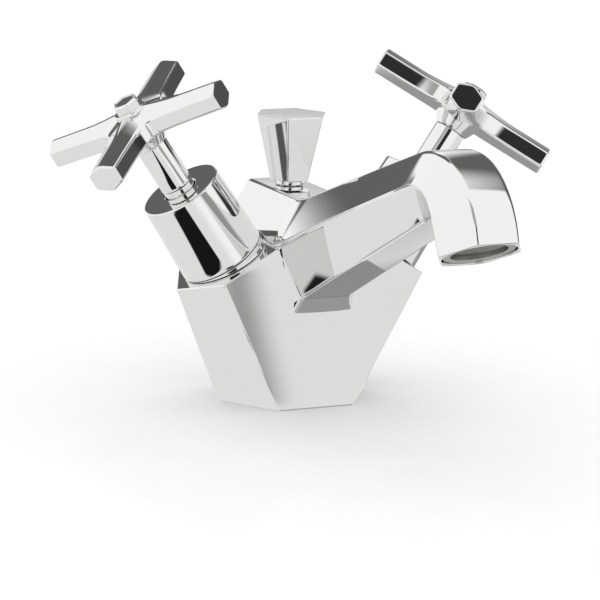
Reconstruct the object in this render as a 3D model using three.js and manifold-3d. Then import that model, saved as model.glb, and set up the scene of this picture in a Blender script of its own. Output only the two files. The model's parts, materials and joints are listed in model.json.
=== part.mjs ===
// Two-handle basin mixer with a pop-up waste knob, in millimetres, +Z up.
// The origin is the centre of the base face, the spout points along -Y and +X is to the right of it.

import * as THREE from 'three';
import { mergeVertices } from 'three/addons/utils/BufferGeometryUtils.js';
import { ConvexGeometry } from 'three/addons/geometries/ConvexGeometry.js';
import Module from 'manifold-3d';

const wasm = await Module();
wasm.setup();

// Clearance between pieces that rest on or pass through each other.
const GAP = 0.3;
const ROUND = 32;

// Body block: half widths and depths of its base, its widest line and its ridge.
const BASE = { front: [14.3, -21.5], side: [28.65, 0], back: [16.6, 22] };
const WAIST = { front: [38.4, -25, 47.65], side: [47.3, -4, 42.3], back: [35.5, 22, 49.4] };
const RIDGE = { halfWidth: 18.8, z: 59.4, frontY: -25.8, backY: 22 };

// Rib and spout: one hexagonal bar, flat on top, that runs forward and then rises.
const RIB_SIDE = 18.8;
const OUTLET_SIDE = 14.8;
const RIB_TOP_Z = 75.7;
const RIB_FRONT = 22.4;
const OUTLET = { y: -137.1, z: 78.3, tilt: THREE.MathUtils.degToRad(26.3) };
const CREST = { y: 118.2, z: 76.8, radius: 31.8 };
const WATERWAY_RADIUS = 5.5;

// Valves: each axis leans outward from a point inside the body.
const LEAN = THREE.MathUtils.degToRad(34.1);
const VALVE = { x: 25, y: -4.1, z: 45.75 };
const POCKET = { radius: 9, floor: -12.5 };
const SEAT = { radius: 15.2, top: 9.4 };
const SHROUD = { bottom: 9.7, top: 38.9, rBottom: 15.4, rTop: 14.5, wall: 2 };
const CHAMBER_RADIUS = 6.9;
const GLAND = { radius: 5.5, top: 41 };
const SPINDLE = { radius: 4, foot: 6.5, top: 65.2 };
const SLEEVE = { radius: 5.8, bottom: 41.4, top: 59 };

// Cross handles, measured along the valve axis from the same point.
const HANDLE = { plane: 67.4, reach: 34.8, bossBottom: 59.3, hubRadius: 7.6, hubTop: 71 };
const ARM = { halfHeight: 5.3, shoulder: 2.9, halfWidth: 5.5 };
const TURN = { left: THREE.MathUtils.degToRad(-46.7), right: THREE.MathUtils.degToRad(-30.3) };
const CAP = { bottom: 71.3, ringTop: 73.2, top: 77.3, ringRadius: 5.85, hexRadius: 4.9 };

// Lift knob and its rod, behind the middle of the body.
const KNOB = { y: 6.6, bottom: 77.85, top: 101.4, rBottom: 7.85, rTop: 13.5 };
const ROD = { radius: 2, bottom: 3, socket: 12 };
const BUSH = { radius: 5, bottom: 68, ledge: 76, top: 77.5, sleeve: 3.6 };

// Underside of the body.
const RECESS = { radius: 15.5, top: 16 };
const GASKET = { inner: 18, outer: 20.4, height: 1.6 };
const INLET = { radius: 4, x: 8 };
const STUD_HOLE = { radius: 3.4, y: -11, depth: 12 };

// Aerator, measured inwards from the outlet face.
const AERATOR = { bore: 12.2, depth: 10, housing: 11.8, throat: 9.3, mesh: 9 };

const CHROME = { color: 0xdfe1e3, roughness: 0.08, metalness: 1 };
const BRASS = { color: 0xb5923f, roughness: 0.35, metalness: 1 };
const STEEL = { color: 0x9a958d, roughness: 0.4, metalness: 1 };
const CERAMIC = { color: 0xe9e6df, roughness: 0.3, metalness: 0 };
const RUBBER = { color: 0x1c1c1c, roughness: 0.8, metalness: 0 };
const PLASTIC = { color: 0x6f6f6c, roughness: 0.5, metalness: 0 };

// ---------- solids ----------

function solid(geometry) {
  geometry.deleteAttribute('normal');
  geometry.deleteAttribute('uv');
  const merged = mergeVertices(geometry, 1e-4);
  const mesh = new wasm.Mesh({
    numProp: 3,
    vertProperties: new Float32Array(merged.attributes.position.array),
    triVerts: new Uint32Array(merged.index.array),
  });
  mesh.merge();
  return new wasm.Manifold(mesh);
}

function toGeometry(manifold) {
  const mesh = manifold.getMesh();
  const geometry = new THREE.BufferGeometry();
  geometry.setAttribute('position', new THREE.BufferAttribute(mesh.vertProperties, 3));
  geometry.setIndex(new THREE.BufferAttribute(mesh.triVerts, 1));
  return geometry;
}

// Solid of revolution about Z from [radius, z] points that run up the outside and back to the axis or start.
function turned(points, segments = ROUND) {
  const profile = points.map(([r, z]) => new THREE.Vector2(r, z));
  if (points[0][0] > 0) profile.push(profile[0].clone());
  return solid(new THREE.LatheGeometry(profile, segments).rotateX(Math.PI / 2));
}

function rod(radius, bottom, top, segments = ROUND) {
  return turned([[0, bottom], [radius, bottom], [radius, top], [0, top]], segments);
}

function ring(inner, outer, bottom, top, segments = ROUND) {
  return turned([[inner, bottom], [outer, bottom], [outer, top], [inner, top]], segments);
}

function placed(manifold, matrix) {
  return manifold.transform(matrix.elements);
}

function translation(x, y, z) {
  return new THREE.Matrix4().makeTranslation(x, y, z);
}

// Rod of the given radius between two points.
function drill(from, to, radius) {
  const start = new THREE.Vector3(...from);
  const along = new THREE.Vector3(...to).sub(start);
  const turn = new THREE.Quaternion().setFromUnitVectors(
    new THREE.Vector3(0, 0, 1),
    along.clone().normalize(),
  );
  const matrix = new THREE.Matrix4().compose(start, turn, new THREE.Vector3(1, 1, 1));
  return placed(rod(radius, 0, along.length(), 20), matrix);
}

// ---------- placing ----------

const model = new THREE.Group();

function addPiece(parent, name, manifold, look) {
  const mesh = new THREE.Mesh(toGeometry(manifold), new THREE.MeshStandardMaterial(look));
  mesh.name = name;
  parent.add(mesh);
}

// Frame of a valve: +Z runs up its leaning axis and +X lies in the plane of both valves.
function valveMatrix(side) {
  return new THREE.Matrix4()
    .makeRotationY(side * LEAN)
    .setPosition(side * VALVE.x, VALVE.y, VALVE.z);
}

// Frame of the outlet: +Z runs from the outlet face back into the spout.
function outletMatrix() {
  return new THREE.Matrix4().makeRotationX(-OUTLET.tilt).setPosition(0, OUTLET.y, OUTLET.z);
}

// ---------- body ----------

function blockSolid() {
  const corners = [];
  for (const side of [-1, 1]) {
    for (const [x, y] of Object.values(BASE)) corners.push(new THREE.Vector3(side * x, y, 0));
    for (const [x, y, z] of Object.values(WAIST)) corners.push(new THREE.Vector3(side * x, y, z));
    for (const y of [RIDGE.frontY, RIDGE.backY]) {
      corners.push(new THREE.Vector3(side * RIDGE.halfWidth, y, RIDGE.z));
    }
  }
  return solid(new ConvexGeometry(corners));
}

// The spout's long edges seen from the side, as [forward, up]: each has a straight
// root leg, a bend leg and an end leg, and the three edges share one parameter.
function edgeLegs() {
  const flat = OUTLET_SIDE * Math.sqrt(3) / 2;
  const backward = [Math.cos(OUTLET.tilt), -Math.sin(OUTLET.tilt)];
  const end = (reach) => [-OUTLET.y - reach * backward[0], OUTLET.z + reach * backward[1]];
  const drop = [Math.sin(OUTLET.tilt), -Math.cos(OUTLET.tilt)];
  const top = topEdge(THREE.MathUtils.degToRad(20), THREE.MathUtils.degToRad(36));
  const side = lowerEdge([RIB_FRONT, RIDGE.z], [44, 69.6], [109.3, 94.5], end(0), drop, 11);
  const bottom = lowerEdge([RIB_FRONT, 39.2], [66, 61.1], [104, 80.3], end(flat), drop, 8);
  return { top, side, bottom };
}

// Upper edge: straight up to the crest, then one arc down to the front of the outlet.
function topEdge(rise, middle) {
  const onArc = (angle) => [
    CREST.y + CREST.radius * Math.sin(angle),
    CREST.z + CREST.radius * Math.cos(angle),
  ];
  const arc = (from, to) => {
    const path = new THREE.Path();
    path.absarc(CREST.y, CREST.z, CREST.radius, Math.PI / 2 - from, Math.PI / 2 - to, true);
    return path;
  };
  const root = new THREE.Path().moveTo(RIB_FRONT, RIB_TOP_Z).lineTo(...onArc(-rise));
  return [root, arc(-rise, middle), arc(middle, THREE.MathUtils.degToRad(75))];
}

// Side or lower edge: a gently curved root, a rounded corner and a straight drop to the outlet.
function lowerEdge(start, control, bendStart, end, drop, radius) {
  const rise = [bendStart[0] - control[0], bendStart[1] - control[1]];
  const riseLength = Math.hypot(...rise);
  const up = rise.map((v) => v / riseLength);
  const cross = up[0] * drop[1] - up[1] * drop[0];
  const gap = [end[0] - bendStart[0], end[1] - bendStart[1]];
  const reach = (gap[0] * drop[1] - gap[1] * drop[0]) / cross;
  const corner = [bendStart[0] + up[0] * reach, bendStart[1] + up[1] * reach];
  const turnAngle = Math.acos(up[0] * drop[0] + up[1] * drop[1]);
  const tangent = radius * Math.tan(turnAngle / 2);
  const arcStart = [corner[0] - up[0] * tangent, corner[1] - up[1] * tangent];
  const arcEnd = [corner[0] + drop[0] * tangent, corner[1] + drop[1] * tangent];
  const centre = [arcStart[0] + up[1] * radius, arcStart[1] - up[0] * radius];
  const angle = (p) => Math.atan2(p[1] - centre[1], p[0] - centre[0]);
  const root = new THREE.Path().moveTo(...start);
  root.quadraticCurveTo(...control, ...bendStart);
  const bend = new THREE.Path().moveTo(...bendStart).lineTo(...arcStart);
  bend.absarc(...centre, radius, angle(arcStart), angle(arcEnd), true);
  return [root, bend, new THREE.Path().moveTo(...arcEnd).lineTo(...end)];
}

// Sections of the rib and spout: each gives the three edge heights and the side length.
function spoutSections() {
  const edges = edgeLegs();
  const steps = [7, 12, 5];
  const sections = [
    { top: [-RIDGE.backY, RIB_TOP_Z], side: [-RIDGE.backY, RIDGE.z], bottom: [-RIDGE.backY, 45] },
  ];
  steps.forEach((count, leg) => {
    for (let i = leg === 0 ? 0 : 1; i <= count; i += 1) {
      const at = (edge) => edge[leg].getPoint(i / count).toArray();
      sections.push({ top: at(edges.top), side: at(edges.side), bottom: at(edges.bottom) });
    }
  });
  const first = sections[1].side[0];
  const last = sections[sections.length - 1].side[0];
  for (const section of sections) {
    const along = Math.max(0, (section.side[0] - first) / (last - first));
    section.width = THREE.MathUtils.lerp(RIB_SIDE, OUTLET_SIDE, along);
  }
  return sections;
}

// Hexagonal bar: a six-sided prism with one step per section, whose rings are moved onto the sections.
function spoutBar(sections) {
  const hexagon = new THREE.Shape();
  for (let corner = 0; corner < 6; corner += 1) {
    const angle = corner * Math.PI / 3;
    if (corner === 0) hexagon.moveTo(1, 0);
    else hexagon.lineTo(Math.cos(angle), Math.sin(angle));
  }
  const steps = sections.length - 1;
  const bar = new THREE.ExtrudeGeometry(hexagon, { steps, depth: steps, bevelEnabled: false });
  const place = bar.attributes.position;
  for (let i = 0; i < place.count; i += 1) {
    const section = sections[Math.round(place.getZ(i))];
    const level = Math.round(place.getY(i) * 2 / Math.sqrt(3));
    const [forward, up] = [section.bottom, section.side, section.top][level + 1];
    place.setXYZ(i, place.getX(i) * section.width, -forward, up);
  }
  return solid(bar);
}

function spoutCentreLine(sections) {
  const middle = (s) => new THREE.Vector3(0, -(s.top[0] + s.bottom[0]) / 2, (s.top[1] + s.bottom[1]) / 2);
  const points = [new THREE.Vector3(0, -8, 54)];
  for (const index of [4, 8, 12, 16, 20]) points.push(middle(sections[index]));
  const inside = new THREE.Vector3(0, 0, AERATOR.depth - 1).applyMatrix4(outletMatrix());
  points.push(inside);
  return new THREE.CatmullRomCurve3(points);
}

function waterwaySolid(sections) {
  const section = new THREE.Shape().absarc(0, 0, WATERWAY_RADIUS, 0, Math.PI * 2);
  return solid(new THREE.ExtrudeGeometry(section, {
    steps: 24,
    curveSegments: 8,
    extrudePath: spoutCentreLine(sections),
  }));
}

// Pocket for the cartridge, its inlet from the underside and its way to the mixing passage.
function valveCuts(side) {
  const matrix = valveMatrix(side);
  const world = (x, z) => new THREE.Vector3(x, 0, z).applyMatrix4(matrix).toArray();
  const pocket = placed(rod(POCKET.radius, POCKET.floor, SEAT.top + 1), matrix);
  const inlet = drill([side * INLET.x, VALVE.y, RECESS.top - 1], world(0, POCKET.floor + 1), INLET.radius);
  const outlet = drill(world(0, -1), [0, -9, 54], INLET.radius);
  return pocket.add(inlet).add(outlet);
}

function bodySolid() {
  const sections = spoutSections();
  let body = blockSolid().add(spoutBar(sections));
  for (const side of [-1, 1]) {
    body = body.add(placed(rod(SEAT.radius, 0, SEAT.top, 48), valveMatrix(side)));
  }
  for (const side of [-1, 1]) body = body.subtract(valveCuts(side));
  const cuts = [
    waterwaySolid(sections),
    placed(rod(AERATOR.bore, -5, AERATOR.depth, 40), outletMatrix()),
    rod(RECESS.radius, -1, RECESS.top, 40),
    ring(GASKET.inner - GAP, GASKET.outer + GAP, -1, GASKET.height + GAP, 40),
    placed(rod(ROD.radius + 0.5, RECESS.top - 1, RIB_TOP_Z + 1), translation(0, KNOB.y, 0)),
    placed(rod(BUSH.sleeve + GAP, BUSH.bottom - 3, RIB_TOP_Z + 1), translation(0, KNOB.y, 0)),
    placed(rod(STUD_HOLE.radius, RECESS.top - 1, RECESS.top + STUD_HOLE.depth),
      translation(0, STUD_HOLE.y, 0)),
  ];
  for (const cut of cuts) body = body.subtract(cut);
  return body;
}

function addBody() {
  addPiece(model, 'body_casting', bodySolid(), CHROME);
  addPiece(model, 'base_gasket', ring(GASKET.inner, GASKET.outer, 0, GASKET.height, 40), RUBBER);
}

// ---------- aerator ----------

function addAerator() {
  const group = new THREE.Group();
  group.applyMatrix4(outletMatrix());
  const { housing, throat, mesh } = AERATOR;
  addPiece(group, 'aerator_housing', turned([
    [throat + GAP, 0.6], [housing, 0.6], [housing, 7.5], [throat - 1, 7.5],
    [throat - 1, 6], [throat + GAP, 6],
  ], 40), STEEL);
  let grid = rod(mesh, 2.2, 3.2, 40);
  for (const x of [-5, 0, 5]) {
    for (const y of [-5, 0, 5]) {
      grid = grid.subtract(placed(rod(1.1, 2, 4, 8), translation(x, y, 0)));
    }
  }
  addPiece(group, 'aerator_mesh', grid, STEEL);
  addPiece(group, 'aerator_insert', ring(3, mesh, 3.5, 5.7, 32), PLASTIC);
  addPiece(group, 'aerator_seal', ring(8, housing, 7.8, 9.6, 32), RUBBER);
  model.add(group);
}

// ---------- valves ----------

function shroudSolid() {
  const { bottom, top, rBottom, rTop, wall } = SHROUD;
  return turned([
    [rBottom - wall, bottom], [rBottom - 0.3, bottom], [rBottom, bottom + 0.3],
    [rTop, top - 0.4], [rTop - 0.4, top], [GLAND.radius + 0.4, top],
    [GLAND.radius + 0.4, top - wall], [rTop - wall, top - wall],
  ], 48);
}

function cartridgeSolid() {
  const outside = turned([
    [0, -11.5], [8.7, -11.5], [8.7, 9.7], [11.3, 9.7], [11.3, 15], [8.7, 15],
    [8.7, 31], [GLAND.radius, 31], [GLAND.radius, GLAND.top], [0, GLAND.top],
  ]);
  let cartridge = outside
    .subtract(rod(CHAMBER_RADIUS, -12, 4))
    .subtract(rod(SPINDLE.radius + GAP, 3, GLAND.top + 1));
  for (const [x, y] of [[12, 0], [0, 12]]) {
    cartridge = cartridge.subtract(drill([-x, -y, -1], [x, y, -1], 2.2));
  }
  return cartridge;
}

// Ceramic disc with two water ports.
function discSolid(bottom, top) {
  let disc = rod(SPINDLE.foot, bottom, top);
  for (const x of [-3.6, 3.6]) {
    disc = disc.subtract(placed(rod(1.9, bottom - 1, top + 1, 16), translation(x, 0, 0)));
  }
  return disc;
}

function spindleSolid() {
  const shaft = turned([
    [0, -3.2], [SPINDLE.foot, -3.2], [SPINDLE.foot, 1.5],
    [SPINDLE.radius, 1.5], [SPINDLE.radius, SPINDLE.top], [0, SPINDLE.top],
  ]);
  return shaft.subtract(rod(2.3, 56, SPINDLE.top + 1, 20));
}

// Hexagonal arm through the hub, with its vertical corners on the valve axis plane.
function armSolid(turn) {
  const { halfHeight, shoulder, halfWidth } = ARM;
  const outline = new THREE.Shape();
  outline.moveTo(0, halfHeight);
  outline.lineTo(-halfWidth, shoulder);
  outline.lineTo(-halfWidth, -shoulder);
  outline.lineTo(0, -halfHeight);
  outline.lineTo(halfWidth, -shoulder);
  outline.lineTo(halfWidth, shoulder);
  const arm = new THREE.ExtrudeGeometry(outline, { depth: 2 * HANDLE.reach, bevelEnabled: false });
  arm.translate(0, 0, -HANDLE.reach).rotateX(Math.PI / 2).rotateZ(turn);
  return solid(arm.translate(0, 0, HANDLE.plane));
}

function handleSolid(turn) {
  const hub = turned([
    [0, HANDLE.bossBottom], [SLEEVE.radius + 0.4, HANDLE.bossBottom], [7.2, HANDLE.plane - 4.2],
    [HANDLE.hubRadius, HANDLE.plane], [6.6, HANDLE.hubTop], [0, HANDLE.hubTop],
  ]);
  return hub.add(armSolid(turn)).add(armSolid(turn + Math.PI / 2))
    .subtract(rod(SPINDLE.radius + GAP, HANDLE.bossBottom - 1, SPINDLE.top + GAP))
    .subtract(rod(2.3, HANDLE.bossBottom, HANDLE.hubTop + 3, 20))
    .subtract(rod(4.2, 68, HANDLE.hubTop + 3))
    .subtract(rod(CAP.ringRadius + GAP, HANDLE.hubTop, HANDLE.hubTop + 3));
}

function capSolid() {
  const { bottom, ringTop, top, ringRadius, hexRadius } = CAP;
  const nut = new THREE.CylinderGeometry(hexRadius - 0.6, hexRadius, 1, 6);
  const shaft = new THREE.CylinderGeometry(hexRadius, hexRadius, top - ringTop, 6);
  nut.rotateX(Math.PI / 2).translate(0, 0, top - 0.5);
  shaft.rotateX(Math.PI / 2).translate(0, 0, (top + ringTop) / 2 - 1);
  return rod(ringRadius, bottom, ringTop).add(solid(nut)).add(solid(shaft));
}

function screwSolid() {
  return rod(2, 57, 69, 20).add(rod(3.8, 68.4, 70.8, 24)).subtract(rod(1.2, 69.6, 72, 6));
}

function addValve(name, side, turn) {
  const group = new THREE.Group();
  group.applyMatrix4(valveMatrix(side));
  addPiece(group, `${name}_shroud`, shroudSolid(), CHROME);
  addPiece(group, `${name}_cartridge`, cartridgeSolid(), BRASS);
  addPiece(group, `${name}_seat_seal`, ring(4.2, 6.6, -12.2, -9.9), RUBBER);
  addPiece(group, `${name}_fixed_disc`, discSolid(-9.6, -6.6), CERAMIC);
  addPiece(group, `${name}_moving_disc`, discSolid(-6.3, -3.5), CERAMIC);
  addPiece(group, `${name}_spindle`, spindleSolid(), BRASS);
  addPiece(group, `${name}_spindle_seal`, ring(SPINDLE.radius + GAP, 6.6, 1.8, 3.7), RUBBER);
  addPiece(group, `${name}_neck_sleeve`,
    ring(SPINDLE.radius + GAP, SLEEVE.radius, SLEEVE.bottom, SLEEVE.top, 40), CHROME);
  addPiece(group, `${name}_handle`, handleSolid(turn), CHROME);
  addPiece(group, `${name}_handle_screw`, screwSolid(), STEEL);
  addPiece(group, `${name}_index_cap`, capSolid(), CHROME);
  model.add(group);
}

// ---------- lift knob ----------

function knobSolid() {
  const { bottom, top, rBottom, rTop } = KNOB;
  const knob = new THREE.CylinderGeometry(rTop, rBottom, top - bottom, 6);
  knob.rotateX(Math.PI / 2).rotateZ(Math.PI / 6).translate(0, 0, (top + bottom) / 2);
  return solid(knob).subtract(rod(ROD.radius + GAP, bottom - 1, bottom + ROD.socket + GAP));
}

function addLift() {
  const group = new THREE.Group();
  group.position.y = KNOB.y;
  addPiece(group, 'lift_knob', knobSolid(), CHROME);
  addPiece(group, 'lift_rod', rod(ROD.radius, ROD.bottom, KNOB.bottom + ROD.socket, 24), BRASS);
  addPiece(group, 'rod_guide_bush', turned([
    [ROD.radius + GAP, BUSH.bottom], [BUSH.sleeve, BUSH.bottom], [BUSH.sleeve, BUSH.ledge],
    [BUSH.radius, BUSH.ledge], [BUSH.radius, BUSH.top], [ROD.radius + GAP, BUSH.top],
  ]), CHROME);
  addPiece(group, 'rod_seal', ring(ROD.radius + GAP, BUSH.sleeve, 65.4, 67.6, 24), RUBBER);
  model.add(group);
}

addBody();
addAerator();
addValve('left', -1, TURN.left);
addValve('right', 1, TURN.right);
addLift();

export default model;
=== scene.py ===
import json

import bmesh
import bpy
import numpy as np
from mathutils import Matrix, Vector


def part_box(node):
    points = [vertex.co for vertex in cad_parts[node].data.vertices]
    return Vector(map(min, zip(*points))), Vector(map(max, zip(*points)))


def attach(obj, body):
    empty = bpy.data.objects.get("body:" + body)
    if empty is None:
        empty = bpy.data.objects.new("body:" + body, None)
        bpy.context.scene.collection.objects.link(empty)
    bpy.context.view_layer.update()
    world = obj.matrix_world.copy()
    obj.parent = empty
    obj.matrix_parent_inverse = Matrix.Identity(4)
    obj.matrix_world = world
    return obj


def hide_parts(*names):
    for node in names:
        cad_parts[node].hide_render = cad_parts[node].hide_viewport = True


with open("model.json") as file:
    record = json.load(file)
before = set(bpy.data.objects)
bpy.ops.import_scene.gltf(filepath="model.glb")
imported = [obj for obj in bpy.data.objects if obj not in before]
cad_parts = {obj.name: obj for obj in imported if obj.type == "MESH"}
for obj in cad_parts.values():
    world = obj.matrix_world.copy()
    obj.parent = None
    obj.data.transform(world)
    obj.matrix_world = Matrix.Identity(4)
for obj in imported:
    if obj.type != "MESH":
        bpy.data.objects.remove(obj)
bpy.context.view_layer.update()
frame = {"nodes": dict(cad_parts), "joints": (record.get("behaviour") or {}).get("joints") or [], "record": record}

bl_info = {
    "name": "Faceted basin mixer",
    "version": (1, 0, 0),
    "blender": (4, 5, 0),
    "location": "View3D > Sidebar > Mixer",
    "description": "Builds a faceted two-handle basin mixer around its packed frame",
    "category": "Object",
}

JOINTS = {joint["name"]: joint for joint in frame["joints"]}
SIDES = {"left": -1.0, "right": 1.0}
ROOT = "mixer"
HEXAGON = np.sqrt(3.0) / 2.0
# How far the edges of small turned parts are rounded back.
SMALL_EDGE = 0.0003
# Panels of the studio in degrees: azimuth from the back and height of the centre, half width, half
# height, softness across and up, and the tone.
CARDS = (
    (0.0, -57.0, 181.0, 43.0, 1.0, 6.0, 0.90),
    (25.0, 4.0, 16.0, 8.0, 5.0, 4.0, 0.62),
    (68.0, 37.0, 38.0, 25.0, 4.0, 11.0, 0.14),
    (-150.0, 45.0, 30.0, 14.0, 4.0, 4.0, 0.45),
    (2.0, 21.0, 10.0, 15.0, 1.5, 1.5, 0.14),
    (8.0, 46.0, 20.0, 12.0, 3.0, 3.0, 0.13),
    (14.0, 14.0, 8.0, 9.0, 2.0, 2.0, 0.14),
    (83.0, 13.0, 21.0, 15.0, 4.0, 4.0, 0.09),
    (98.0, 10.0, 8.0, 6.0, 3.0, 3.0, 0.035),
    (95.0, -55.0, 62.0, 20.0, 8.0, 7.0, 0.38),
    (-158.0, 20.0, 12.0, 13.0, 2.5, 2.5, 0.032),
)
# Painted shade: sheets on the deck beside the object that glow with a fixed dark or grey tone and are seen only in
# the chrome's reflections, as shade on the deck. Four corners, softness across and along as a share of the side,
# and the tone.
REFLECTED_SHADE_PATCHES = (
    ("card_left", (-0.076, -0.022), (-0.107, -0.050), (-0.098, -0.170), (-0.050, -0.117), 0.03, 0.03, 0.010),
    ("card_root", (-0.043, -0.043), (-0.047, -0.057), (-0.034, -0.059), (-0.030, -0.046), 0.12, 0.12, 0.02),
    ("card_front", (-0.041, -0.020), (-0.005, -0.020), (0.047, -0.170), (0.011, -0.170), 0.25, 0.05, 0.40),
    ("card_back_right", (-0.020, 0.000), (0.250, 0.000), (0.250, 0.200), (-0.020, 0.200), 0.05, 0.05, 0.37),
)


def length(name, description, default, low=0.0):
    return bpy.props.FloatProperty(
        name=name, description=description, default=default, min=low, unit="LENGTH", precision=5)


def number(name, description, default):
    return bpy.props.FloatProperty(name=name, description=description, default=default, min=0.0)


def angle(name, description, degrees):
    return bpy.props.FloatProperty(
        name=name, description=description, default=np.radians(degrees), subtype="ANGLE")


def colour(name, description, default):
    return bpy.props.FloatVectorProperty(
        name=name, description=description, default=default, size=3, min=0.0, max=1.0, subtype="COLOR")


def place(name, description, default):
    return bpy.props.FloatVectorProperty(
        name=name, description=description, default=default, size=len(default), unit="LENGTH",
        precision=5)


# ---------- sizes and colours ----------

class MixerBodySizes(bpy.types.PropertyGroup):
    base_front: place("Base front corner", "Right front corner of the base", (0.0143, -0.0215, 0.0))
    base_side: place("Base side corner", "Right side corner of the base", (0.02865, 0.0, 0.0))
    base_back: place("Base back corner", "Right back corner of the base", (0.0166, 0.022, 0.0))
    waist_front: place("Waist front", "Right front corner of the widest line", (0.0384, -0.025, 0.04765))
    waist_side: place("Waist side", "Right side corner of the widest line", (0.0473, -0.004, 0.0423))
    waist_back: place("Waist back", "Right back corner of the widest line", (0.0355, 0.022, 0.0494))
    ridge_half: length("Ridge half width", "Where the shoulders meet the rib, from the middle", 0.0188)
    ridge_height: length("Ridge height", "Height at which the shoulders meet the rib", 0.0594)
    edge: length("Edge radius", "Softness of the polished edges", 0.0006)
    recess_radius: length("Recess radius", "Radius of the hollow under the body", 0.0155)
    recess_depth: length("Recess depth", "Depth of the hollow under the body", 0.016)


class MixerSpoutSizes(bpy.types.PropertyGroup):
    rib_side: length("Rib side", "Side of the hexagonal rib and of the root of the spout", 0.0188)
    outlet_side: length("Outlet side", "Side of the hexagonal outlet", 0.0148)
    rib_top: length("Rib top", "Height of the flat top of the rib", 0.0757)
    rib_front: length("Rib front", "How far forward the level rib runs", 0.0224)
    back: length("Rib back", "How far back the rib runs", 0.022)
    outlet_reach: length("Outlet reach", "Middle of the outlet, forward of the base", 0.1371)
    outlet_height: length("Outlet height", "Middle of the outlet above the deck", 0.0783)
    outlet_tilt: angle("Outlet tilt", "Forward tilt of the stream", 26.3)
    crest_reach: length("Crest reach", "Centre of the crest's curve, forward of the base", 0.1182)
    crest_height: length("Crest height", "Centre of the crest's curve above the deck", 0.0768)
    crest_radius: length("Crest radius", "Radius of the crest's curve", 0.0315)
    bore: length("Outlet bore", "Radius of the round mouth", 0.0122)
    root_height: length("Root height", "Lower edge of the spout where it leaves the body", 0.0392)
    side_control: place("Side control", "Middle of the side edge's first curve", (0.044, 0.0696))
    side_bend: place("Side bend", "Where the side edge starts to turn down", (0.1093, 0.0945))
    side_radius: length("Side radius", "Radius of the side edge's turn", 0.011)
    heel_control: place("Heel control", "Middle of the lower edge's first curve", (0.066, 0.0611))
    heel_bend: place("Heel bend", "Where the lower edge starts to turn down", (0.104, 0.0803))
    heel_radius: length("Heel radius", "Radius of the lower edge's turn", 0.008)
    bow: length("Bow", "How far each polished flat bows out", 0.0001)
    bend: number("Bend", "Share of a leg over which the rib turns up into the spout", 0.09)
    edge: length("Edge cut", "How far the long edges are rounded back", 0.0013)
    fillet: length("Root fillet", "Radius where the spout's sides leave the front of the body", 0.0016)
    heel_fillet: length("Heel fillet", "Radius under the spout where it leaves the body", 0.0048)
    heel_top: length("Heel top", "Height over which that radius has eased into the sides'", 0.0430)


class MixerValveSizes(bpy.types.PropertyGroup):
    """Heights run up the leaning valve axis from the seat's centre."""

    seat_radius: length("Seat radius", "Ring cast on the shoulder under each shroud", 0.0152)
    seat_top: length("Seat top", "Top of that ring", 0.0094)
    shroud_bottom: length("Shroud bottom", "Foot of the shroud", 0.0097)
    shroud_top: length("Shroud top", "Top of the shroud", 0.0389)
    shroud_foot_radius: length("Shroud foot radius", "Its outer radius there", 0.0154)
    shroud_top_radius: length("Shroud top radius", "Its outer radius there", 0.0145)
    shroud_hole: length("Shroud hole", "Radius of the hole for the neck", 0.0059)
    gland_radius: length("Gland radius", "Collar that the neck turns on", 0.00555)
    gland_top: length("Gland top", "Top of that collar", 0.0411)
    sleeve_radius: length("Sleeve radius", "Outer radius of the neck sleeve", 0.0058)
    sleeve_bottom: length("Sleeve bottom", "Foot of the neck sleeve", 0.0414)
    sleeve_top: length("Sleeve top", "Top of the neck sleeve", 0.059)
    spindle_bore: length("Spindle bore", "Radius of the bore round the spindle", 0.0043)


class MixerHandleSizes(bpy.types.PropertyGroup):
    """Heights run up the leaning valve axis from the seat's centre."""

    plane: length("Arm plane", "Middle of the arms", 0.0674)
    reach: length("Arm reach", "Tip of an arm from the valve axis", 0.0348)
    half_height: length("Arm half height", "Middle of an arm to its ridge", 0.0053)
    shoulder: length("Arm shoulder", "Middle of an arm to the top of its side", 0.0029)
    half_width: length("Arm half width", "Middle of an arm to its side", 0.0055)
    corner: length("Corner sweep", "How far the inner corner between two arms swings out", 0.0036)
    edge: length("Edge cut", "How far the edges are rounded back", 0.0008)
    crown: length("Crown", "Half width of the rounded ridge on top of an arm", 0.0014)
    dome_start: length("Dome start", "Where the arms start to rise to the hub, from the axis", 0.0195)
    dome_end: length("Dome end", "How far past the axis that rise would level out", 0.008)
    dome_rise: length("Dome rise", "How far the top would have risen by there", 0.0022)
    boss_bottom: length("Boss bottom", "Foot of the boss under the arms", 0.0591)
    boss_radius: length("Boss radius", "Radius of the boss where it meets the arms", 0.0114)
    left_turn: angle("Left turn", "Rest angle of the left cross", -46.7)
    right_turn: angle("Right turn", "Rest angle of the right cross", -30.3)
    cap_bottom: length("Cap bottom", "Foot of the index cap", 0.0712)
    cap_ring: length("Cap ring", "Top of the cap's round foot", 0.0740)
    cap_top: length("Cap top", "Top of the index cap", 0.0773)
    cap_ring_radius: length("Cap ring radius", "Radius of the cap's round foot", 0.00585)
    cap_hex_radius: length("Cap hexagon radius", "Corner radius of the cap's hexagon", 0.0049)


class MixerFinishes(bpy.types.PropertyGroup):
    chrome: colour("Chrome", "Tint of the plating", (0.80, 0.80, 0.795))
    brass: colour("Brass", "Machined brass inside", (0.62, 0.45, 0.17))
    steel: colour("Steel", "Aerator and screws", (0.50, 0.49, 0.47))
    mesh: colour("Mesh", "Woven steel of the aerator", (0.40, 0.39, 0.37))
    ceramic: colour("Ceramic", "Lapped valve discs", (0.83, 0.80, 0.74))
    rubber: colour("Rubber", "Seals", (0.02, 0.02, 0.02))
    plastic: colour("Plastic", "Aerator insert", (0.2, 0.2, 0.19))
    floor: colour("Floor", "Pale studio floor", (0.93, 0.93, 0.93))


class MixerStudio(bpy.types.PropertyGroup):
    surround: number("Surround", "Brightness of the white surround in reflections", 1.10)
    daylight: number("Daylight", "Brightness that lights the floor", 1.16)


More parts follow.
